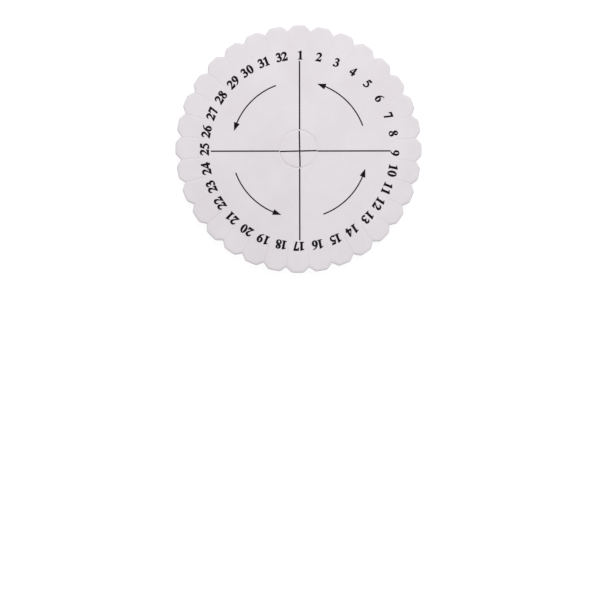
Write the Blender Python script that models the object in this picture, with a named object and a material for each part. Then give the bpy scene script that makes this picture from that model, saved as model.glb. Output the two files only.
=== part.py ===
"""Kumihimo braiding disk with 32 slitted lobes and a die-cut centre plug.

Metres, +Z up. The origin is the centre of the underside, and the first lobe
points along +Y. One sheet of foam is cut by a steel-rule die into two pieces:
the disk and the round plug, which stays pushed into its hole. The top face
carries a printed cross and four arrows that give the turning direction.
"""

import math

import bmesh
import bpy

# Foam blank
DISK_DIAMETER = 0.150
THICKNESS = 0.010
EDGE_ROUNDING = 0.0006

# Scalloped rim: each lobe keeps a short arc of the blank, with a chamfer on both sides
LOBE_COUNT = 32
LOBE_TIP_WIDTH = 0.0073
NOTCH_DEPTH = 0.0031
TIP_CORNER_RADIUS = 0.0020
MOUTH_CORNER_RADIUS = 0.0008

# Knife slits that grip the cords
SLIT_WIDTH = 0.0002
SLIT_LENGTH = 0.0112

# Knock-out plug
PLUG_DIAMETER = 0.0223
PLUG_KERF = 0.0003
PLUG_TURN = math.radians(1.1)

# Print: the crossing lies a little off the die's centre and the lines are a little turned,
# as the sheet was printed before it was cut, and the ring of arrows sits above the crossing
PRINT_SHIFT_X = 0.0008
PRINT_SHIFT_Y = -0.0013
PRINT_TURN = math.radians(0.5)
INK_THICKNESS = 0.00005
LINE_WIDTH = 0.0006
NUMBER_BAND = 0.0063
ARROW_INSET = 0.0130
ARROW_RING_RISE = 0.0008
ARROW_TAIL_ANGLE = math.radians(69.6)
ARROW_TIP_ANGLE = math.radians(15.9)
ARROW_SHAFT_WIDTH = 0.00055
ARROW_HEAD_LENGTH = 0.0050
ARROW_HEAD_WIDTH = 0.0034

# Facets of the round stretches
TIP_ARC_STEPS = 4
CORNER_STEPS = 2
SLIT_END_STEPS = 2
CIRCLE_STEPS = 64
ROUNDING_STEPS = 2
ARROW_ARC_STEPS = 16
SMOOTH_BELOW = math.radians(50)
WELD_DISTANCE = 0.000001

FOAM_COLOUR = (0.768, 0.730, 0.761, 1.0)
FOAM_ROUGHNESS = 0.9
INK_COLOUR = (0.017, 0.013, 0.016, 1.0)
INK_ROUGHNESS = 0.6

DISK_RADIUS = DISK_DIAMETER / 2
HALF_PITCH = math.pi / LOBE_COUNT
MOUTH_RADIUS = DISK_RADIUS - NOTCH_DEPTH
SLIT_END_RADIUS = MOUTH_RADIUS - SLIT_LENGTH
PLUG_RADIUS = PLUG_DIAMETER / 2
HOLE_RADIUS = PLUG_RADIUS + PLUG_KERF
LINE_REACH = SLIT_END_RADIUS - NUMBER_BAND
ARROW_RADIUS = LINE_REACH - ARROW_INSET
COMPASS = ("north", "east", "south", "west")
QUARTERS = ("north_east", "south_east", "south_west", "north_west")


def clear_scene():
    for item in list(bpy.data.objects):
        bpy.data.objects.remove(item, do_unlink=True)


def make_material(name, colour, roughness):
    material = bpy.data.materials.new(name)
    material.use_nodes = True
    shader = material.node_tree.nodes["Principled BSDF"]
    shader.inputs["Base Color"].default_value = colour
    shader.inputs["Roughness"].default_value = roughness
    shader.inputs["Metallic"].default_value = 0.0
    return material


def on_circle(radius, azimuth):
    """Point at an azimuth measured clockwise from +Y."""
    return (radius * math.sin(azimuth), radius * math.cos(azimuth))


def turned(point, azimuth):
    """Point carried clockwise round the origin."""
    x, y = point
    return (x * math.cos(azimuth) + y * math.sin(azimuth),
            y * math.cos(azimuth) - x * math.sin(azimuth))


def fillet(before, corner, after, radius, steps):
    """Arc that rounds a corner between its two neighbours, as a list of points."""
    to_before = math.atan2(before[1] - corner[1], before[0] - corner[0])
    to_after = math.atan2(after[1] - corner[1], after[0] - corner[0])
    opening = (to_after - to_before + math.pi) % (2 * math.pi) - math.pi
    bisector = to_before + opening / 2
    to_centre = radius / math.sin(abs(opening) / 2)
    centre = (corner[0] + to_centre * math.cos(bisector),
              corner[1] + to_centre * math.sin(bisector))
    half_sweep = math.copysign((math.pi - abs(opening)) / 2, -opening)
    middle = bisector + math.pi
    points = []
    for step in range(steps + 1):
        angle = middle + half_sweep * (2 * step / steps - 1)
        points.append((centre[0] + radius * math.cos(angle),
                       centre[1] + radius * math.sin(angle)))
    return points


def lobe_points():
    """Outline of the lobe on +Y, from the slit on its left to the slit on its right."""
    tip_angle = math.asin(LOBE_TIP_WIDTH / 2 / DISK_RADIUS)
    slit_side = SLIT_WIDTH / 2
    arc = []
    for step in range(TIP_ARC_STEPS + 1):
        arc.append(on_circle(DISK_RADIUS, tip_angle * (2 * step / TIP_ARC_STEPS - 1)))
    mouth = turned((-slit_side, MOUTH_RADIUS), HALF_PITCH)
    slit_end = turned((-slit_side, SLIT_END_RADIUS), HALF_PITCH)
    slit_floor = on_circle(SLIT_END_RADIUS, HALF_PITCH)
    right = fillet(arc[-2], arc[-1], mouth, TIP_CORNER_RADIUS, CORNER_STEPS)
    right += fillet(arc[-1], mouth, slit_end, MOUTH_CORNER_RADIUS, CORNER_STEPS)
    right += fillet(mouth, slit_end, slit_floor, slit_side, SLIT_END_STEPS)
    left = [(-x, y) for x, y in reversed(right)]
    return left[1:] + arc[1:-1] + right


def disk_outline():
    one_lobe = lobe_points()
    outline = []
    for lobe in range(LOBE_COUNT):
        outline += [turned(point, 2 * HALF_PITCH * lobe) for point in one_lobe]
    return outline


def circle_outline(radius):
    return [on_circle(radius, 2 * math.pi * step / CIRCLE_STEPS) for step in range(CIRCLE_STEPS)]


def plate(name, outlines, bottom, thickness, material, rounding=0.0):
    """Flat plate between closed outlines, with rounded upper and lower edges."""
    curve = bpy.data.curves.new(name, "CURVE")
    curve.dimensions = "2D"
    curve.fill_mode = "BOTH"
    curve.extrude = thickness / 2 - rounding
    curve.bevel_depth = rounding
    curve.bevel_resolution = ROUNDING_STEPS - 1
    curve.offset = -rounding
    for outline in outlines:
        spline = curve.splines.new("POLY")
        spline.points.add(len(outline) - 1)
        for control, (x, y) in zip(spline.points, outline):
            control.co = (x, y, 0.0, 1.0)
        spline.use_cyclic_u = True
    draft = bpy.data.objects.new(name + "_outline", curve)
    bpy.context.scene.collection.objects.link(draft)
    evaluated = draft.evaluated_get(bpy.context.evaluated_depsgraph_get())
    mesh = bpy.data.meshes.new_from_object(evaluated)
    bpy.data.objects.remove(draft, do_unlink=True)
    weld_caps(mesh)
    mesh.name = name
    mesh.materials.clear()
    mesh.materials.append(material)
    mesh.shade_smooth()
    mesh.set_sharp_from_angle(angle=SMOOTH_BELOW)
    solid = bpy.data.objects.new(name, mesh)
    solid.location.z = bottom + thickness / 2
    return solid


def weld_caps(mesh):
    shape = bmesh.new()
    shape.from_mesh(mesh)
    bmesh.ops.remove_doubles(shape, verts=shape.verts, dist=WELD_DISTANCE)
    bmesh.ops.recalc_face_normals(shape, faces=shape.faces)
    shape.to_mesh(mesh)
    shape.free()


def make_disk(foam):
    return plate("foam_disk", [disk_outline(), circle_outline(HOLE_RADIUS)],
                 0.0, THICKNESS, foam, EDGE_ROUNDING)


def make_plug(foam):
    plug = plate("centre_plug", [circle_outline(PLUG_RADIUS)], 0.0, THICKNESS, foam, EDGE_ROUNDING)
    plug.rotation_euler.z = PLUG_TURN
    return plug


def reach_of_arm(number, radius, side):
    """Distance from the crossing to a circle round the die's centre, along one arm of the cross.

    Arm 0 points to +Y and the count runs clockwise. `side` is the half width that has to stay
    inside the circle, or zero for the arm's own centre line.
    """
    direction = on_circle(1.0, number * math.pi / 2 - PRINT_TURN)
    along = PRINT_SHIFT_X * direction[0] + PRINT_SHIFT_Y * direction[1]
    across = PRINT_SHIFT_X * direction[1] - PRINT_SHIFT_Y * direction[0]
    return math.sqrt(radius ** 2 - (abs(across) + side) ** 2) - along


def place_print(mark, turn=0.0):
    mark.location.x = PRINT_SHIFT_X
    mark.location.y = PRINT_SHIFT_Y
    mark.rotation_euler.z = turn
    return mark


def make_line(number, ink):
    """Printed line from the lip of the hole outwards; 0 is +Y, and the count runs clockwise."""
    start = reach_of_arm(number, HOLE_RADIUS + EDGE_ROUNDING, 0.0)
    half = LINE_WIDTH / 2
    outline = [(-half, start), (-half, LINE_REACH), (half, LINE_REACH), (half, start)]
    line = plate("printed_line_" + COMPASS[number], [outline], THICKNESS, INK_THICKNESS, ink)
    return place_print(line, PRINT_TURN - number * math.pi / 2)


def make_plug_cross(ink):
    """The part of the printed cross that lies on the plug, one arm after the other."""
    half = LINE_WIDTH / 2
    outline = []
    for number in range(len(COMPASS)):
        end = reach_of_arm(number, PLUG_RADIUS - EDGE_ROUNDING, half)
        arm = [(-half, half), (-half, end), (half, end)]
        outline += [turned(corner, number * math.pi / 2) for corner in arm]
    cross = plate("printed_plug_cross", [outline], THICKNESS, INK_THICKNESS, ink)
    return place_print(cross, PRINT_TURN)


def make_arrow(number, ink):
    """Arc with a filled head that points counter-clockwise; copies turn about the arrows' centre."""
    head_angle = ARROW_TIP_ANGLE + ARROW_HEAD_LENGTH / ARROW_RADIUS
    inner = ARROW_RADIUS - ARROW_SHAFT_WIDTH / 2
    outer = ARROW_RADIUS + ARROW_SHAFT_WIDTH / 2
    angles = [head_angle + (ARROW_TAIL_ANGLE - head_angle) * step / ARROW_ARC_STEPS
              for step in range(ARROW_ARC_STEPS + 1)]
    outline = [on_circle(ARROW_RADIUS - ARROW_HEAD_WIDTH / 2, head_angle),
               on_circle(ARROW_RADIUS, ARROW_TIP_ANGLE),
               on_circle(ARROW_RADIUS + ARROW_HEAD_WIDTH / 2, head_angle)]
    outline += [on_circle(outer, angle) for angle in angles]
    outline += [on_circle(inner, angle) for angle in reversed(angles)]
    arrow = plate("printed_arrow_" + QUARTERS[number], [outline], THICKNESS, INK_THICKNESS, ink)
    place_print(arrow, -number * math.pi / 2)
    arrow.location.y += ARROW_RING_RISE
    return arrow


def build_model():
    clear_scene()
    foam = make_material("white_foam", FOAM_COLOUR, FOAM_ROUGHNESS)
    ink = make_material("black_ink", INK_COLOUR, INK_ROUGHNESS)
    disk = make_disk(foam)
    plug = make_plug(foam)
    lines = [make_line(number, ink) for number in range(len(COMPASS))]
    cross = make_plug_cross(ink)
    arrows = [make_arrow(number, ink) for number in range(len(QUARTERS))]

    collection = bpy.data.collections.new("kumihimo_disk")
    bpy.context.scene.collection.children.link(collection)
    for solid in [disk, plug, cross] + lines + arrows:
        collection.objects.link(solid)
    cross.location.z -= plug.location.z
    cross.parent = plug
    for mark in lines + arrows:
        mark.location.z -= disk.location.z
        mark.parent = disk


build_model()
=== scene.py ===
import math
import random
from collections import namedtuple

import bmesh
import bpy
import numpy as np
from mathutils import Euler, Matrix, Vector
from mathutils.geometry import tessellate_polygon


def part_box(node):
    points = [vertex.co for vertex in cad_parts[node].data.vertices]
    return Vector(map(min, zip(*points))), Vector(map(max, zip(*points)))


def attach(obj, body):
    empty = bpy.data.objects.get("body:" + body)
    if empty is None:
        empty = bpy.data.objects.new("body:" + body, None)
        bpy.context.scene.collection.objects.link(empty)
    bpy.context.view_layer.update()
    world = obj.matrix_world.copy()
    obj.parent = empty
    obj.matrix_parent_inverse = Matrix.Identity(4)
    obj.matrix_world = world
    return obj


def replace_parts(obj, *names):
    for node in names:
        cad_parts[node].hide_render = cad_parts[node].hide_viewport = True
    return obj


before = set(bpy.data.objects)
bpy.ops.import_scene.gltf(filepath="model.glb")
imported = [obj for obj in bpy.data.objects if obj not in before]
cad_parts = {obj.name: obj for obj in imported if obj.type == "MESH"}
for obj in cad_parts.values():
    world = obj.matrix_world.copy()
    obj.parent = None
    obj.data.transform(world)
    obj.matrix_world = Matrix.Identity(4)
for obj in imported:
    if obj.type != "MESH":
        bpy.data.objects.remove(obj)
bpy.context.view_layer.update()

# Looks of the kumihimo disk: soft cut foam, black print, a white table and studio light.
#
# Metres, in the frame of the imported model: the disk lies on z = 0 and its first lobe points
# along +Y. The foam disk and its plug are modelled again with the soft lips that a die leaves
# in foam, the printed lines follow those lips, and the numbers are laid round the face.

MM = 0.001

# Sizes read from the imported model
DISK_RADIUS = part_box("foam_disk")[1].x
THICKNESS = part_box("foam_disk")[1].z

# Rim: a lobe keeps a short arc of the round blank, with a chamfer on both sides
LOBE_COUNT = 32
LOBE_TIP_WIDTH = 7.3 * MM
NOTCH_DEPTH = 3.1 * MM
SLIT_LENGTH = 11.2 * MM
TIP_CORNER_RADIUS = 2.0 * MM
MOUTH_CORNER_RADIUS = 0.8 * MM
SHARPEST_CORNER = 0.4 * MM
SLIT_WIDTH = 0.01 * MM
HALF_PITCH = math.pi / LOBE_COUNT
MOUTH_RADIUS = DISK_RADIUS - NOTCH_DEPTH
SLIT_END_RADIUS = MOUTH_RADIUS - SLIT_LENGTH
# The rim was cut a little off the middle of the centre hole, and the foam has drawn in across
# the sheet and stretched along it
RIM_CENTRE = (0.12 * MM, 0.0)
RIM_STRETCH = (0.9970, 1.0027)

# Centre hole and the plug that sits in it
HOLE_RADIUS = 11.46 * MM
PLUG_RADIUS = 11.44 * MM
PLUG_TURN = math.radians(1.1)
PLUG_LIFT = 0.05 * MM
PLUG_TILT = math.radians(0.6)
PLUG_HIGH_SIDE = math.radians(205)

# Section of a cut edge. The lip curves down to the wall as the outer part of a quarter round:
# all of it (1) on the outline, which the die rounds over, and a slanting share of it on the
# slits and the centre cut, where the foam is only pressed in beside the knife and the rows
# crowd (2 rather than 1) towards the sharp corner. Beyond the lip a soft shoulder sinks a little.
Edge = namedtuple("Edge", "lip depth arc crowd shoulder sink")
RIM_EDGE = Edge(1.50 * MM, 0.90 * MM, 1.0, 1, 2.9 * MM, 0.05 * MM)
SLIT_EDGE = Edge(1.00 * MM, 0.26 * MM, 0.6, 2, 1.8 * MM, 0.02 * MM)
ROUND_EDGE = Edge(1.20 * MM, 0.38 * MM, 0.6, 2, 2.3 * MM, 0.04 * MM)
SHOULDER_POWER = 2.5
WALL_DISH = 0.22 * MM
LOBE_LIFT = 0.16 * MM
LIFT_POWER = 1.5
LIFT_SEED = 4

# The knife pressed each slit in by its own amount, and least near the first lobe. The round
# die bit deepest on one line across the plug.
SLIT_PRESS = (0.5, 1.2)
SLIT_SEED = 7
FAINT_SIDE = math.radians(15)
FAINT_SHARE = 0.9
ROUND_SIDE = math.radians(15)
ROUND_LEAST = 0.25

# Points along half a lobe, and rows across the section, which crowd towards the lip
ARC_POINTS = 5
FILLET_POINTS = 6
CHAMFER_POINTS = 3
SIDE_POINTS = 8
SLIT_END_POINTS = 5
LIP_STEPS = 5
SHOULDER_STEPS = 5
SHOULDER_CROWD = 1.3
WALL_STEPS = 4
FACE_ROWS = 24
PLUG_COLUMNS = 128
PLUG_ROWS = 8

# Print. The values in rows are for north, east, south and west, or for the arrows after each.
LINE_CENTRE = (0.8 * MM, -1.3 * MM)
LINE_TURN = math.radians(-0.5)
LINE_WIDTH = 0.6 * MM
LINE_REACHES = (54.79 * MM, 54.9 * MM, 54.24 * MM, 53.95 * MM)
LINE_SPREAD = 0.12 * MM
LINE_STATIONS = 14
STATION_CROWD = 3
CUT_CLEARANCES = (0.40 * MM, 0.18 * MM, 0.36 * MM, 0.16 * MM)
INK_HEIGHT = 0.02 * MM
INK_DEPTH = 0.03 * MM
NUMBER_CENTRE = (0.8 * MM, -1.09 * MM)
NUMBER_RADIUS = 57.94 * MM
NUMBER_OVAL = 0.15 * MM
OVAL_AXIS = math.radians(14)
NUMBER_HEIGHT = 5.2 * MM
NUMBER_TURN = math.radians(0.05)
NUMBER_COUNT = 32
NUMBER_SPREAD = {1: 0.18 * MM, 2: 0.23 * MM}
ARROW_CENTRES = ((0.3 * MM, -0.32 * MM), (0.8 * MM, -0.8 * MM), (0.8 * MM, -0.15 * MM),
                 (0.8 * MM, -0.32 * MM))
ARROW_RADIUS = 41.4 * MM
ARROW_TIP_ANGLE = math.radians(15.9)
ARROW_TAIL_ANGLE = math.radians(69.6)
ARROW_SHAFT_WIDTH = 0.55 * MM
ARROW_HEAD_LENGTH = 5.0 * MM
ARROW_HEAD_WIDTH = 3.4 * MM
ARROW_STEPS = 24
DIGIT_UNITS = 100.0
DIGIT_ADVANCE = 74.5
CLOSE_ADVANCE = 63.5
CLOSE_NUMBERS = ("15", "16", "17", "18", "31", "32")
CURVE_STEPS = 5
LEAST_MITRE = 0.5
BAR_HALF_WIDTH = LINE_WIDTH / 2 + LINE_SPREAD

# Camera: the disk's place in the square photograph, and how it was turned
PHOTO_SIDE = 600
PIXEL = 0.6073 * MM
DISK_PIXEL = (298.35, 148.9)
CAMERA_DEPTH = 2.0
CAMERA_ROLL = math.radians(0.4)
CAMERA_CLIP = (0.05, 20.0)
SENSOR = 36.0

# Numbers that were set off their even place, in millimetres clockwise
NUMBER_NUDGE = {7: 0.5, 8: 0.4, 9: 1.0, 10: 0.4, 11: 0.5, 12: -0.3, 13: -0.8, 18: -0.5, 19: -0.5,
                20: -0.5, 21: -0.3, 25: 0.5, 29: 0.4}

# Digits with bold stems, thin hairlines and flat serifs, 100 units high.
# A third value marks a corner; the outline runs smoothly through the other points.
DIGITS = {
    "0": [[(36, 101), (58, 88), (69, 50), (58, 12), (36, -1), (14, 12), (3, 50), (14, 88)],
          [(36, 96.5), (44, 86), (48.5, 50), (44, 14), (36, 3.5), (28, 14), (23.5, 50), (28, 86)]],
    "1": [[(13, 0, 1), (58, 0, 1), (58, 3.5, 1), (52, 6), (48.5, 14), (48.5, 100, 1), (45, 100, 1),
           (11, 85, 1), (11, 81.5, 1), (19, 84), (25, 82.5), (27.5, 76), (27.5, 14), (24, 6),
           (13, 3.5, 1)]],
    "2": [[(3, 0, 1), (3, 3, 1), (22, 24), (38, 46), (45, 66), (41, 80), (29, 85), (16, 80),
           (8, 68, 1), (5, 69, 1), (9, 84), (19, 96), (33, 100.5), (52, 96), (63, 84), (64, 74),
           (58, 58), (42, 39), (22, 19.5, 1), (46, 19.5, 1), (57, 21), (64, 31, 1),
           (67.5, 31, 1), (63, 0, 1)]],
    "3": [[(5, 76, 1), (12, 92), (30, 100.5), (50, 94), (57, 80), (53, 68), (44, 60, 1), (58, 50),
           (64, 33), (57, 13), (40, 1), (22, -1.5), (8, 1), (3, 8), (6, 15), (14, 17), (24, 12),
           (34, 6.5), (42, 11), (46, 24), (42, 38), (32, 45.5), (18, 47.5, 1), (18, 50.5, 1),
           (30, 56), (38, 66), (38, 78), (30, 86), (18, 84), (8, 75, 1)]],
    "4": [[(57, 100, 1), (57, 36, 1), (68, 36, 1), (68, 21, 1), (57, 21, 1), (57, 0, 1),
           (38, 0, 1), (38, 21, 1), (3, 21, 1), (3, 35, 1), (47, 100, 1)],
          [(38, 36, 1), (38, 78, 1), (11, 36, 1)]],
    "5": [[(22, 99, 1), (62, 100, 1), (57, 82, 1), (24, 82, 1), (20, 72, 1), (40, 66), (57, 52),
           (64, 34), (56, 12), (36, 0), (18, -1.5), (5, 3), (4, 11), (12, 15.5), (24, 12), (35, 7),
           (46, 15), (50, 30), (42, 46), (28, 54), (8, 55, 1)]],
    "6": [[(63, 100, 1), (40, 93), (20, 76), (7, 52), (3.5, 33), (9, 12), (22, 0.5), (36, -1.5),
           (55, 5), (67, 31), (60, 52), (44, 62), (30, 59, 1), (34, 76), (46, 90), (63, 97, 1)],
          [(35, 55), (26, 44), (25, 24), (36.5, 3), (47, 26), (45, 46)]],
    "7": [[(11, 100, 1), (66, 100, 1), (66, 96, 1), (41, -1, 1), (25, -1, 1), (48, 82, 1),
           (24, 82, 1), (14, 78.5, 1), (8.5, 68, 1), (5, 68, 1)]],
    "8": [[(36, 101), (56, 94), (62, 79), (55, 64), (46, 57), (60, 44), (66, 26), (58, 7),
           (36, -1.5), (14, 6), (5, 22), (11, 40), (23, 49), (12, 60), (8, 76), (16, 94)],
          [(36, 95.5), (27.5, 84), (33, 70), (41, 60.5, 1), (47, 78), (44, 91)],
          [(29, 43), (20.5, 24), (24, 10), (36, 3.5), (48, 12), (46, 26)]],
}
# A nine is a six turned upside down in a box of this size
NINE_BOX = (72, 99)
DIGITS["9"] = [[(NINE_BOX[0] - p[0], NINE_BOX[1] - p[1]) + tuple(p[2:]) for p in outline]
               for outline in DIGITS["6"]]


# Plane geometry

def on_circle(radius, azimuth):
    """Point at an azimuth measured clockwise from +Y."""
    return np.array((radius * math.sin(azimuth), radius * math.cos(azimuth)))


def cross(a, b):
    return a[0] * b[1] - a[1] * b[0]


def unit(vector):
    return vector / np.linalg.norm(vector)


def turned(points, azimuth):
    """Points carried clockwise round the origin."""
    c, s = math.cos(azimuth), math.sin(azimuth)
    x, y = points[:, 0], points[:, 1]
    return np.column_stack((x * c + y * s, y * c - x * s))


def between(a, b, count):
    return [a + (b - a) * (step + 1) / (count + 1) for step in range(count)]


def fillet(corner, to_before, to_after, radius, count):
    """Arc that rounds a corner, given unit directions from it along both sides."""
    half_opening = math.acos(max(-1.0, min(1.0, float(to_before @ to_after)))) / 2
    centre = corner + unit(to_before + to_after) * radius / math.sin(half_opening)
    first = corner + to_before * radius / math.tan(half_opening) - centre
    sweep = math.copysign(math.pi - 2 * half_opening, -cross(to_before, to_after))
    points = []
    for angle in np.linspace(0.0, sweep, count):
        c, s = math.cos(angle), math.sin(angle)
        points.append(centre + np.array((first[0] * c - first[1] * s, first[0] * s + first[1] * c)))
    return points


# Cut edges

def drop_near(edge, inset):
    """How far the face lies below its flat level at a distance from a cut edge."""
    past = edge.arc * max(0.0, 1 - inset / edge.lip)
    lip = (1 - math.sqrt(1 - past * past)) / (1 - math.sqrt(1 - edge.arc ** 2))
    return edge.depth * lip + edge.sink * max(0.0, 1 - inset / edge.shoulder) ** SHOULDER_POWER


def edge_profile(edge):
    """Points from the wall up over the lip to the end of the shoulder, as (inset, drop) pairs."""
    insets = [edge.lip * (1 - math.sin(math.asin(edge.arc) * (1 - share ** edge.crowd)) / edge.arc)
              for share in np.linspace(0.0, 1.0, LIP_STEPS + 1)]
    for step in range(1, SHOULDER_STEPS + 1):
        share = (step / SHOULDER_STEPS) ** SHOULDER_CROWD
        insets.append(edge.lip + (edge.shoulder - edge.lip) * share)
    return [(inset, drop_near(edge, inset)) for inset in insets]


def half_lobe(inset, slit_inset):
    """Right half of the outline of the lobe on +Y, moved into the foam.

    It runs from the middle of the tip to the floor of the slit on the right.
    """
    along = on_circle(1.0, HALF_PITCH)
    inward = np.array((-along[1], along[0]))
    tip = on_circle(DISK_RADIUS, math.asin(LOBE_TIP_WIDTH / 2 / DISK_RADIUS))
    mouth = MOUTH_RADIUS * along + SLIT_WIDTH / 2 * inward
    chamfer = unit(mouth - tip)
    start = tip + inset * np.array((chamfer[1], -chamfer[0]))
    radius = DISK_RADIUS - inset
    b = float(start @ chamfer)
    tip = start - (b + math.sqrt(b * b - float(start @ start) + radius * radius)) * chamfer
    end_radius = SLIT_WIDTH / 2 + slit_inset
    mouth = start + cross(end_radius * inward - start, along) / cross(chamfer, along) * chamfer

    back_along_arc = unit(np.array((-tip[1], tip[0])))
    tip_arc = fillet(tip, back_along_arc, chamfer,
                     max(TIP_CORNER_RADIUS - inset, SHARPEST_CORNER), FILLET_POINTS)
    mouth_arc = fillet(mouth, -chamfer, -along,
                       max(MOUTH_CORNER_RADIUS - inset, SHARPEST_CORNER), FILLET_POINTS)
    arc_end = math.atan2(tip_arc[0][0], tip_arc[0][1])
    slit_end = (SLIT_END_RADIUS + SLIT_WIDTH / 2) * along

    points = [on_circle(radius, arc_end * step / ARC_POINTS) for step in range(ARC_POINTS)]
    points += tip_arc
    points += between(tip_arc[-1], mouth_arc[0], CHAMFER_POINTS)
    points += mouth_arc
    points += between(mouth_arc[-1], slit_end + end_radius * inward, SIDE_POINTS)
    for angle in np.linspace(0.0, math.pi / 2, SLIT_END_POINTS):
        points.append(slit_end + end_radius * (math.cos(angle) * inward - math.sin(angle) * along))
    return np.array(points)


def outer_share(count):
    """1 along the outer wall of half a lobe, falling to 0 through the rounding at the mouth."""
    outer = ARC_POINTS + FILLET_POINTS + CHAMFER_POINTS
    share = np.ones(count)
    steps = np.arange(1, count - outer + 1) / (FILLET_POINTS + 1)
    share[outer:] = np.clip(1.0 - steps, 0.0, 1.0)
    return share


def slit_presses():
    """Share of the full depth to which each slit was pressed in, clockwise from the first lobe."""
    draw = random.Random(SLIT_SEED)
    presses = []
    for lobe in range(LOBE_COUNT):
        towards_faint = max(0.0, math.cos((2 * lobe + 1) * HALF_PITCH - FAINT_SIDE))
        presses.append(draw.uniform(*SLIT_PRESS) * (1 - FAINT_SHARE * towards_faint))
    return presses


def round_press(azimuth):
    """Share of the full depth to which the round cut was pressed in at an azimuth."""
    return ROUND_LEAST + (1 - ROUND_LEAST) * math.cos(azimuth - ROUND_SIDE) ** 2


def rim_row(rim, slit, dish=0.0):
    """Points and drops of one row round the whole rim, from a profile point of both edges."""
    half = half_lobe(rim[0], slit[0])
    share = outer_share(len(half))
    if dish:
        half = half + share[:, None] * (half_lobe(rim[0] + dish, slit[0]) - half)
    lobe = np.concatenate((half[-2:0:-1] * (-1, 1), half))
    row = np.concatenate([turned(lobe, 2 * HALF_PITCH * k) for k in range(LOBE_COUNT)])
    row = row * RIM_STRETCH + RIM_CENTRE
    drops = [share * rim[1] + (1 - share) * slit[1] * press for press in slit_presses()]
    return row, np.concatenate([part for k in range(LOBE_COUNT)
                                for part in (drops[k - 1][-2:0:-1], drops[k])])


def round_row(radius, drop, count, first=0.0):
    """Points and drops of one row round the centre cut."""
    azimuths = first + 2 * math.pi * np.arange(count) / count
    return (np.array([on_circle(radius, azimuth) for azimuth in azimuths]),
            np.array([drop * round_press(azimuth) for azimuth in azimuths]))


class Shell:
    """Points and quads gathered row by row into one mesh."""

    def __init__(self):
        self.rows = []
        self.faces = []
        self.count = 0

    def row(self, flat, heights):
        """Adds points at their heights and returns their numbers."""
        flat = np.asarray(flat, float)
        self.rows.append(np.column_stack((flat, np.broadcast_to(heights, (len(flat),)))))
        self.count += len(flat)
        return np.arange(self.count - len(flat), self.count)

    def join(self, first, second, closed=True):
        """Quads between two rows of equally many points."""
        if closed:
            first, second = np.append(first, first[0]), np.append(second, second[0])
        self.faces += np.stack((first[:-1], first[1:], second[1:], second[:-1]), axis=1).tolist()

    def points(self):
        return np.concatenate(self.rows)


def make_piece(name, points, faces, material, smooth=True):
    shape = bmesh.new()
    corners = [shape.verts.new(point) for point in points]
    for face in faces:
        shape.faces.new([corners[i] for i in face])
    bmesh.ops.recalc_face_normals(shape, faces=shape.faces)
    for face in shape.faces:
        face.smooth = smooth
    mesh = bpy.data.meshes.new(name)
    shape.to_mesh(mesh)
    shape.free()
    mesh.materials.append(material)
    piece = bpy.data.objects.new(name, mesh)
    bpy.context.scene.collection.objects.link(piece)
    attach(piece, "root")
    return piece


def cut_edge(shell, row_at, dish):
    """Rows over the upper lip, down the wall and round the lower lip.

    `row_at(step, dish)` gives the points and drops of one profile step. The wall is hollow
    by the dish at half its height.
    """
    last = LIP_STEPS + SHOULDER_STEPS
    rows = []
    for step in range(last, -1, -1):
        flat, drop = row_at(step, 0.0)
        rows.append(shell.row(flat, THICKNESS - drop))
    drop = row_at(0, 0.0)[1]
    for step in range(1, WALL_STEPS):
        share = step / WALL_STEPS
        flat = row_at(0, dish * 4 * share * (1 - share))[0]
        rows.append(shell.row(flat, (THICKNESS - drop) * (1 - share) + drop * share))
    for step in range(last + 1):
        flat, drop = row_at(step, 0.0)
        rows.append(shell.row(flat, drop))
    for first, second in zip(rows, rows[1:]):
        shell.join(first, second)
    return rows[0], rows[-1]


def cover_face(shell, rim, hole, height):
    """Quads of one face, from the last row of the rim to the last row round the hole."""
    points = shell.points()[:, :2]
    half_count = len(rim) // LOBE_COUNT // 2 + 1
    inner_edge = []
    for lobe in range(LOBE_COUNT):
        tip = lobe * (2 * half_count - 2) + half_count - 2
        previous = rim[tip - ARC_POINTS:tip + ARC_POINTS + 1]
        shares = np.linspace(0.0, 1.0, len(previous))[:, None]
        chord = points[previous[0]] + (points[previous[-1]] - points[previous[0]]) * shares
        bow = points[previous] - chord
        steps = half_count - 1 - ARC_POINTS
        for step in range(1, steps + 1):
            left = rim[(tip - ARC_POINTS - step) % len(rim)]
            right = rim[tip + ARC_POINTS + step]
            line = points[left] + (points[right] - points[left]) * shares + bow * (1 - step / steps)
            current = np.concatenate(([left], shell.row(line[1:-1], height), [right]))
            shell.join(previous, current, closed=False)
            previous = current
        inner_edge.append(previous[:-1])
    outer = np.concatenate(inner_edge)
    everything = shell.points()[:, :2]
    outer_points, hole_points = everything[outer], everything[hole]
    previous = outer
    for step in range(1, FACE_ROWS):
        current = shell.row(outer_points + (hole_points - outer_points) * step / FACE_ROWS, height)
        shell.join(previous, current)
        previous = current
    shell.join(previous, hole)


def lift_lobes(points):
    """Each lobe springs up by its own small amount towards its tip."""
    draw = random.Random(LIFT_SEED)
    lifts = np.array([draw.uniform(0.0, LOBE_LIFT) for _ in range(LOBE_COUNT)])
    radius = np.hypot(points[:, 0], points[:, 1])
    azimuth = np.arctan2(points[:, 0], points[:, 1])
    lobe = np.round(azimuth / (2 * HALF_PITCH)).astype(int) % LOBE_COUNT
    share = np.clip((radius - SLIT_END_RADIUS) / (DISK_RADIUS - SLIT_END_RADIUS), 0.0, 1.0)
    points[:, 2] += lifts[lobe] * share ** LIFT_POWER
    return points


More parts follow.
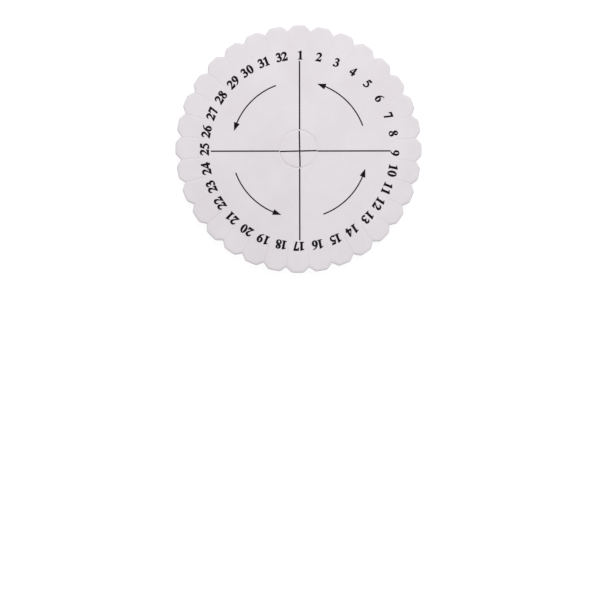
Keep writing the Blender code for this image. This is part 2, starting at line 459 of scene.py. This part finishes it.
def make_disk(material):
    rim, slit, hole = edge_profile(RIM_EDGE), edge_profile(SLIT_EDGE), edge_profile(ROUND_EDGE)
    columns = LOBE_COUNT * 2 * ARC_POINTS

    def rim_step(step, dish):
        return rim_row(rim[step], slit[step], dish)

    def hole_step(step, dish):
        return round_row(HOLE_RADIUS + hole[step][0] + dish, hole[step][1], columns, -HALF_PITCH)

    shell = Shell()
    rim_top, rim_bottom = cut_edge(shell, rim_step, WALL_DISH)
    hole_top, hole_bottom = cut_edge(shell, hole_step, 0.0)
    cover_face(shell, rim_top, hole_top, THICKNESS)
    cover_face(shell, rim_bottom, hole_bottom, 0.0)
    return make_piece("foam_disk_soft", lift_lobes(shell.points()), shell.faces, material)


def seat_plug(points):
    """The plug is turned and barely tilted, so that one side stands proud of the face."""
    c, s = math.cos(PLUG_TURN), math.sin(PLUG_TURN)
    x, y, z = points[:, 0], points[:, 1], points[:, 2]
    towards_high_side = points[:, :2] @ on_circle(1.0, PLUG_HIGH_SIDE)
    lift = PLUG_LIFT + math.tan(PLUG_TILT) * towards_high_side
    return np.column_stack((x * c - y * s, x * s + y * c, z + lift * z / THICKNESS))


def make_plug(material):
    profile = edge_profile(ROUND_EDGE)

    def plug_step(step, dish):
        return round_row(PLUG_RADIUS - profile[step][0] - dish, profile[step][1], PLUG_COLUMNS)

    shell = Shell()
    ends = cut_edge(shell, plug_step, 0.0)
    for edge, height in zip(ends, (THICKNESS, 0.0)):
        ring = shell.points()[edge, :2]
        previous = edge
        for step in range(1, PLUG_ROWS):
            current = shell.row(ring * (1 - step / PLUG_ROWS), height)
            shell.join(previous, current)
            previous = current
        middle = int(shell.row([(0.0, 0.0)], height)[0])
        shell.faces += [(int(a), int(b), middle) for a, b in zip(previous, np.roll(previous, -1))]
    return make_piece("centre_plug_soft", seat_plug(shell.points()), shell.faces, material)


# Print

def face_height(past_cut, x, y):
    """Height of the upper face at a distance from the round cut."""
    return THICKNESS - drop_near(ROUND_EDGE, max(0.0, past_cut)) * round_press(math.atan2(x, y))


def disk_height(x, y):
    return face_height(math.hypot(x, y) - HOLE_RADIUS, x, y)


def plug_height(x, y):
    return face_height(PLUG_RADIUS - math.hypot(x, y), x, y)


def make_ink(name, points, faces, material):
    film = make_piece(name, points, faces, material, smooth=False)
    return film


def ink_bar(points, faces, start, end, stations, height_at):
    """Adds a straight bar of ink along a line on the face, at the given stations from 0 to 1."""
    along = unit(end - start)
    side = np.array((-along[1], along[0])) * BAR_HALF_WIDTH
    first = len(points)
    for share in stations:
        middle = start + (end - start) * share
        for lift, sign in ((INK_HEIGHT, 1), (INK_HEIGHT, -1), (-INK_DEPTH, -1), (-INK_DEPTH, 1)):
            x, y = middle + side * sign
            points.append((x, y, height_at(x, y) + lift))
    for station in range(len(stations) - 1):
        for corner in range(4):
            a = first + 4 * station + corner
            b = first + 4 * station + (corner + 1) % 4
            faces.append((a, b, b + 4, a + 4))
    last = first + 4 * (len(stations) - 1)
    faces.append(tuple(range(first, first + 4)))
    faces.append(tuple(range(last, last + 4)))


def reach_to_circle(start, along, radius):
    """Distance along a line from a point inside a circle to the circle."""
    b = float(start @ along)
    return -b + math.sqrt(b * b - float(start @ start) + radius * radius)


def make_arm(name, quarter, material):
    """One arm of the cross, from the lip of the hole out to the numbers."""
    centre = np.array(LINE_CENTRE)
    along = on_circle(1.0, math.radians(90 * quarter) + LINE_TURN)
    inner = reach_to_circle(centre, along, HOLE_RADIUS + CUT_CLEARANCES[quarter])
    start, end = centre + along * inner, centre + along * LINE_REACHES[quarter]
    stations = np.linspace(0.0, 1.0, LINE_STATIONS) ** STATION_CROWD
    points, faces = [], []
    ink_bar(points, faces, start, end, stations, disk_height)
    return make_ink(name, points, faces, material)


def make_plug_cross(material):
    """One whole bar and two half bars that meet where the lines cross on the plug."""
    centre = np.array(LINE_CENTRE)
    points, faces = [], []
    stations = 1 - np.linspace(1.0, 0.0, LINE_STATIONS) ** STATION_CROWD
    north, east, south, west = (PLUG_RADIUS - clearance for clearance in CUT_CLEARANCES)
    for quarter, radius in ((0, north), (1, east), (3, west)):
        along = on_circle(1.0, math.radians(90 * quarter) + LINE_TURN)
        end = centre + along * reach_to_circle(centre, along, radius)
        if quarter == 0:
            start = centre - along * reach_to_circle(centre, -along, south)
            shares = np.concatenate((-stations[::-1], stations[1:])) / 2 + 0.5
        else:
            start, shares = centre + along * BAR_HALF_WIDTH, stations
        ink_bar(points, faces, start, end, shares, plug_height)
    return make_ink("ink_plug_cross", seat_plug(np.array(points)), faces, material)


def smooth_outline(outline):
    """Polygon of a digit's outline, with a smooth curve wherever it has no corner.

    Between a smooth point and a corner the curve is a parabola.
    """
    points = [np.array(p[:2], float) for p in outline]
    corner = [len(p) > 2 for p in outline]
    polygon = []
    for i, a in enumerate(points):
        j = (i + 1) % len(points)
        b = points[j]
        if corner[i] and corner[j]:
            polygon.append(a)
            continue
        length = np.linalg.norm(b - a)
        leave = None if corner[i] else unit(b - points[i - 1]) * length
        arrive = None if corner[j] else unit(points[(j + 1) % len(points)] - a) * length
        if leave is None:
            leave = 1.5 * (b - a) - 0.5 * arrive
        if arrive is None:
            arrive = 1.5 * (b - a) - 0.5 * leave
        for t in np.arange(CURVE_STEPS) / CURVE_STEPS:
            polygon.append((2 * t ** 3 - 3 * t ** 2 + 1) * a + (t ** 3 - 2 * t ** 2 + t) * leave
                           + (3 * t ** 2 - 2 * t ** 3) * b + (t ** 3 - t ** 2) * arrive)
    return np.array(polygon)


def spread(outline, amount):
    """Outline moved to its right by an amount. Points that would fold over are dropped in turn."""
    while True:
        edges = np.roll(outline, -1, axis=0) - outline
        edges = edges / np.linalg.norm(edges, axis=1)[:, None]
        normals = np.column_stack((edges[:, 1], -edges[:, 0]))
        before = np.roll(normals, 1, axis=0)
        mitre = (1 + np.sum(normals * before, axis=1))[:, None].clip(LEAST_MITRE)
        moved = outline + (normals + before) / mitre * amount
        lengths = np.sum((np.roll(moved, -1, axis=0) - moved) * edges, axis=1)
        if lengths.min() > 0:
            return moved
        outline = np.delete(outline, lengths.argmin(), axis=0)


def winds_left(outline):
    x, y = outline[:, 0], outline[:, 1]
    return float(np.sum(x * np.roll(y, -1) - y * np.roll(x, -1))) > 0


def ink_film(name, shapes, bleed, azimuth, centre, material):
    """Flat ink on the face. Each shape is an outline followed by its openings.

    The shapes are drawn as they stand at +Y and carried clockwise to their azimuth.
    """
    points, faces = [], []
    for shape in shapes:
        outlines = []
        for place, outline in enumerate(shape):
            outward = 1 if winds_left(outline) == (place == 0) else -1
            outlines.append(spread(outline, bleed * outward))
        first = len(points)
        count = sum(len(flat) for flat in outlines)
        for height in (THICKNESS + INK_HEIGHT, THICKNESS - INK_DEPTH):
            for flat in outlines:
                points += [(x, y, height) for x, y in turned(flat, azimuth) + centre]
        rings = [[Vector((x, y, 0.0)) / MM for x, y in flat] for flat in outlines]
        for cap in tessellate_polygon(rings):
            faces.append(tuple(first + corner for corner in cap))
            faces.append(tuple(first + count + corner for corner in cap))
        for flat in outlines:
            for i in range(len(flat)):
                a, b = first + i, first + (i + 1) % len(flat)
                faces.append((a, b, b + count, a + count))
            first += len(flat)
    return make_ink(name, points, faces, material)


def make_number(number, material):
    """The digits of one number, upright along its own radius."""
    nudge = NUMBER_NUDGE.get(number, 0.0) * MM / NUMBER_RADIUS
    azimuth = 2 * math.pi * (number - 1) / NUMBER_COUNT + NUMBER_TURN + nudge
    radius = NUMBER_RADIUS + NUMBER_OVAL * math.cos(2 * (azimuth - OVAL_AXIS))
    text = str(number)
    advance = CLOSE_ADVANCE if text in CLOSE_NUMBERS else DIGIT_ADVANCE
    first = -((len(text) - 1) * advance + DIGIT_ADVANCE) / 2
    shapes = []
    for place, digit in enumerate(text):
        corner = (first + place * advance, -DIGIT_UNITS / 2)
        shape = []
        for outline in DIGITS[digit]:
            flat = (smooth_outline(outline) + corner) * NUMBER_HEIGHT / DIGIT_UNITS
            shape.append(flat + (0.0, radius))
        shapes.append(shape)
    bleed = NUMBER_SPREAD[len(text)]
    return ink_film(f"number_{number}", shapes, bleed, azimuth, NUMBER_CENTRE, material)


def make_arrow(name, quarter, material):
    """Arc with a filled head that points counter-clockwise."""
    head_angle = ARROW_TIP_ANGLE + ARROW_HEAD_LENGTH / ARROW_RADIUS
    angles = np.linspace(head_angle, ARROW_TAIL_ANGLE, ARROW_STEPS + 1)
    half_head, half_shaft = ARROW_HEAD_WIDTH / 2, ARROW_SHAFT_WIDTH / 2
    outline = [on_circle(ARROW_RADIUS - half_head, head_angle),
               on_circle(ARROW_RADIUS, ARROW_TIP_ANGLE),
               on_circle(ARROW_RADIUS + half_head, head_angle)]
    outline += [on_circle(ARROW_RADIUS + half_shaft, angle) for angle in angles]
    outline += [on_circle(ARROW_RADIUS - half_shaft, angle) for angle in angles[::-1]]
    azimuth = quarter * math.pi / 2 + LINE_TURN
    centre = ARROW_CENTRES[quarter]
    return ink_film(name, [[np.array(outline)]], LINE_SPREAD, azimuth, centre, material)


# Materials

WHITE = (1.0, 1.0, 1.0, 1.0)
FOAM_LIGHT = (0.780, 0.742, 0.772, 1.0)
FOAM_DARK = (0.750, 0.709, 0.741, 1.0)
FOAM_WALL = (0.735, 0.690, 0.724, 1.0)
# Painted shade: a darker colour laid into the dents of the skin and into the open cells of the
# walls
PAINTED_PIT_SHADE = (0.600, 0.550, 0.585, 1.0)
INK_DENSE = (0.0020, 0.0015, 0.0018, 1.0)
INK_THIN = (0.0070, 0.0058, 0.0066, 1.0)
INK_PINHOLE = (0.160, 0.150, 0.155, 1.0)
FLOOR_SEEN = (0.92, 0.92, 0.92, 1.0)
FLOOR_BOUNCE = (0.90, 0.90, 0.90, 1.0)
FLOOR_GLOW = 1.21
FLOOR_GLOW_SHARE = 0.70

# Patterns: their scale, and for a noise its detail and its roughness
FOAM_PATCHES = (55.0, 3.0)
FOAM_SKIN = (1900.0, 4.0, 0.6)
FOAM_SOFT = (420.0, 2.0)
FOAM_STROKES = (1500.0, 3.0, 0.6)
STROKE_SCALE = (1.0, 1.0, 0.12)
FOAM_CELLS = 2300.0
INK_CLOUD = (320.0, 3.0)
INK_GRAIN = (2400.0, 3.0, 0.6)
FLOOR_GRAIN = (900.0, 3.0)

# Ramps: the range of a pattern, then the range of shares or of roughness it gives
WALL_RAMP = (0.75, 0.35)
PATCH_RAMP = (0.35, 0.65)
# Shares of painted shade in the dents of the skin and in the open cells
SKIN_SHADE_RAMP = (0.30, 0.46, 0.22, 0.0)
CELL_SHADE_RAMP = (0.05, 0.32, 0.55, 0.0)
FOAM_ROUGHNESS = (0.3, 0.7, 0.78, 0.95)
CLOUD_RAMP = (0.35, 0.70)
PINHOLE_RAMP = (0.70, 0.80, 0.0, 0.5)
INK_ROUGHNESS = (0.3, 0.7, 0.48, 0.68)

# Relief: the weights of the foam's patterns, then a distance and a strength for each material
SKIN_WEIGHT = 0.6
SOFT_WEIGHT = 1.2
CELL_WEIGHT = 1.6
FOAM_BUMP = (0.06 * MM, 0.55)
INK_BUMP = (0.02 * MM, 0.5)
FLOOR_BUMP = (0.04 * MM, 0.3)
FOAM_SPECULAR = 0.28
INK_SPECULAR = 0.06


class Nodes:
    """Short calls for building the node tree of one material or world."""

    def __init__(self, owner, output="OutputMaterial"):
        self.owner = owner
        owner.use_nodes = True
        self.tree = owner.node_tree
        self.tree.nodes.clear()
        self.output = self.add(output)

    def feed(self, socket, value):
        """Links a node's output to an input, or sets the input to a plain value."""
        if isinstance(value, bpy.types.NodeSocket):
            self.tree.links.new(value, socket)
        else:
            socket.default_value = value

    def add(self, kind, **values):
        """A node, with its settings by attribute name and its inputs by socket name."""
        node = self.tree.nodes.new("ShaderNode" + kind)
        for key, value in values.items():
            if hasattr(node, key):
                setattr(node, key, value)
            else:
                self.feed(node.inputs[key], value)
        return node

    def noise(self, vector, scale, detail, roughness=0.5):
        node = self.add("TexNoise", Vector=vector, Scale=scale, Detail=detail, Roughness=roughness)
        return node.outputs["Fac"]

    def cells(self, vector, scale):
        return self.add("TexVoronoi", Vector=vector, Scale=scale).outputs["Distance"]

    def math(self, operation, *values):
        node = self.add("Math", operation=operation)
        for socket, value in zip(node.inputs, values):
            self.feed(socket, value)
        return node.outputs[0]

    def ramp(self, value, low, high, to_low=0.0, to_high=1.0):
        node = self.add("MapRange", clamp=True)
        for socket, limit in zip(node.inputs, (value, low, high, to_low, to_high)):
            self.feed(socket, limit)
        return node.outputs[0]

    def mix(self, share, a, b):
        node = self.add("Mix", data_type="RGBA")
        for place, value in ((0, share), (6, a), (7, b)):
            self.feed(node.inputs[place], value)
        return node.outputs[2]

    def mix_shaders(self, share, a, b):
        node = self.add("MixShader")
        for socket, value in zip(node.inputs, (share, a.outputs[0], b.outputs[0])):
            self.feed(socket, value)
        return node

    def bump(self, height, distance, strength):
        node = self.add("Bump", Height=height, Strength=strength, Distance=distance)
        return node.outputs["Normal"]

    def finish(self, shader):
        self.feed(self.output.inputs["Surface"], shader.outputs[0])
        return self.owner

    def finish_matt(self, colour, roughness, normal, specular):
        shader = self.add("BsdfPrincipled", Roughness=roughness, Normal=normal)
        self.feed(shader.inputs["Base Color"], colour)
        self.feed(shader.inputs["Specular IOR Level"], specular)
        return self.finish(shader)


def foam_material():
    """Matt closed-cell foam: a fine leathery skin on the faces, open cells on the cut walls, and
    painted shade in the dents of the skin and in the open cells.
    """
    n = Nodes(bpy.data.materials.new("foam"))
    coordinates = n.add("TexCoord")
    place = coordinates.outputs["Object"]
    normal = n.add("SeparateXYZ", Vector=coordinates.outputs["Normal"])
    wall = n.ramp(n.math("ABSOLUTE", normal.outputs[2]), *WALL_RAMP)

    patches = n.ramp(n.noise(place, *FOAM_PATCHES), *PATCH_RAMP)
    skin = n.noise(place, *FOAM_SKIN)
    soft = n.noise(place, *FOAM_SOFT)
    cells = n.cells(place, FOAM_CELLS)
    drawn_down = n.add("Mapping", Vector=place, Scale=STROKE_SCALE)
    strokes = n.noise(drawn_down.outputs[0], *FOAM_STROKES)

    face_colour = n.mix(patches, FOAM_DARK, FOAM_LIGHT)
    # Painted shade in the dents of the skin, where its relief is lowest
    face_colour = n.mix(n.ramp(skin, *SKIN_SHADE_RAMP), face_colour, PAINTED_PIT_SHADE)
    wall_colour = n.mix(strokes, FOAM_WALL, FOAM_LIGHT)
    # Painted shade in the open cells of the cut walls, where their relief is lowest
    wall_colour = n.mix(n.ramp(cells, *CELL_SHADE_RAMP), wall_colour, PAINTED_PIT_SHADE)
    colour = n.mix(wall, face_colour, wall_colour)

    face_relief = n.math("ADD", n.math("MULTIPLY", skin, SKIN_WEIGHT),
                         n.math("MULTIPLY", soft, SOFT_WEIGHT))
    wall_relief = n.math("ADD", n.math("MULTIPLY", cells, CELL_WEIGHT), strokes)
    relief = n.bump(n.mix(wall, face_relief, wall_relief), *FOAM_BUMP)
    return n.finish_matt(colour, n.ramp(skin, *FOAM_ROUGHNESS), relief, FOAM_SPECULAR)


def ink_material():
    """Thin black screen print: slightly uneven, with a pinhole of foam here and there."""
    n = Nodes(bpy.data.materials.new("ink"))
    place = n.add("TexCoord").outputs["Object"]
    cloud = n.noise(place, *INK_CLOUD)
    grain = n.noise(place, *INK_GRAIN)
    colour = n.mix(n.ramp(cloud, *CLOUD_RAMP), INK_DENSE, INK_THIN)
    colour = n.mix(n.ramp(grain, *PINHOLE_RAMP), colour, INK_PINHOLE)
    relief = n.bump(grain, *INK_BUMP)
    return n.finish_matt(colour, n.ramp(grain, *INK_ROUGHNESS), relief, INK_SPECULAR)


def background_rays(n):
    """1 where the camera, a reflection or a view through glass sees the surface."""
    rays = n.add("LightPath")
    seen = n.math("MAXIMUM", rays.outputs["Is Camera Ray"], rays.outputs["Is Glossy Ray"])
    return n.math("MAXIMUM", seen, rays.outputs["Is Transmission Ray"])


def floor_material():
    """White table that takes a soft shadow. It glows for the camera and not onto the disk."""
    n = Nodes(bpy.data.materials.new("white_table"))
    place = n.add("TexCoord").outputs["Object"]
    relief = n.bump(n.noise(place, *FLOOR_GRAIN), *FLOOR_BUMP)
    seen = n.add("BsdfDiffuse", Color=FLOOR_SEEN, Normal=relief)
    lit = n.mix_shaders(FLOOR_GLOW_SHARE, seen, n.add("Emission", Strength=FLOOR_GLOW))
    bounce = n.add("BsdfDiffuse", Color=FLOOR_BOUNCE)
    return n.finish(n.mix_shaders(background_rays(n), bounce, lit))


# Table, light and camera

FLOOR_SIDE = 6.0
FLOOR_DROP = 0.02 * MM
WORLD_FILL = 0.55
KEY_PLACE = Vector((0.10, 0.40, 0.80))
KEY_SIDE = 0.40
KEY_POWER = 4.12


def make_floor():
    mesh = bpy.data.meshes.new("table")
    half = FLOOR_SIDE / 2
    corners = [(-half, -half, -FLOOR_DROP), (half, -half, -FLOOR_DROP),
               (half, half, -FLOOR_DROP), (-half, half, -FLOOR_DROP)]
    mesh.from_pydata(corners, [], [(0, 1, 2, 3)])
    mesh.materials.append(floor_material())
    table = bpy.data.objects.new("table", mesh)
    bpy.context.scene.collection.objects.link(table)


def make_world():
    """Even pale fill for the object, plain white behind it."""
    n = Nodes(bpy.data.worlds.new("studio"), "OutputWorld")
    fill = n.add("Background", Color=WHITE, Strength=WORLD_FILL)
    backdrop = n.add("Background", Color=WHITE, Strength=1.0)
    bpy.context.scene.world = n.finish(n.mix_shaders(background_rays(n), fill, backdrop))


def make_lamp():
    light = bpy.data.lights.new("key", "AREA")
    light.size = KEY_SIDE
    light.energy = KEY_POWER
    lamp = bpy.data.objects.new("key", light)
    lamp.location = KEY_PLACE
    lamp.rotation_euler = (-KEY_PLACE).to_track_quat("-Z", "Y").to_euler()
    bpy.context.scene.collection.objects.link(lamp)


def make_camera():
    """Looks straight down, with the disk where the photograph has it, high in the frame."""
    camera = bpy.data.cameras.new("camera")
    camera.sensor_width = SENSOR
    camera.lens = SENSOR * CAMERA_DEPTH / (PHOTO_SIDE * PIXEL)
    camera.clip_start, camera.clip_end = CAMERA_CLIP
    rig = bpy.data.objects.new("camera", camera)
    rig.rotation_euler = Euler((0.0, 0.0, CAMERA_ROLL))
    across = (DISK_PIXEL[0] - PHOTO_SIDE / 2) * PIXEL
    up = (PHOTO_SIDE / 2 - DISK_PIXEL[1]) * PIXEL
    rotation = rig.rotation_euler.to_matrix()
    rig.location = Vector((0.0, 0.0, THICKNESS)) - rotation @ Vector((across, up, -CAMERA_DEPTH))
    bpy.context.scene.collection.objects.link(rig)
    bpy.context.scene.camera = rig


bpy.context.scene.view_settings.view_transform = "Standard"
make_camera()
make_world()
make_lamp()
make_floor()

foam = foam_material()
ink = ink_material()

disk = make_disk(foam)
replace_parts(disk, "foam_disk")
plug = make_plug(foam)
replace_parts(plug, "centre_plug")

for quarter, side in enumerate(("north", "east", "south", "west")):
    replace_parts(make_arm(f"ink_line_{side}", quarter, ink), f"printed_line_{side}")
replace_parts(make_plug_cross(ink), "printed_plug_cross")
for quarter, side in enumerate(("north_east", "south_east", "south_west", "north_west")):
    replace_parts(make_arrow(f"ink_arrow_{side}", quarter, ink), f"printed_arrow_{side}")
for number in range(1, NUMBER_COUNT + 1):
    make_number(number, ink)
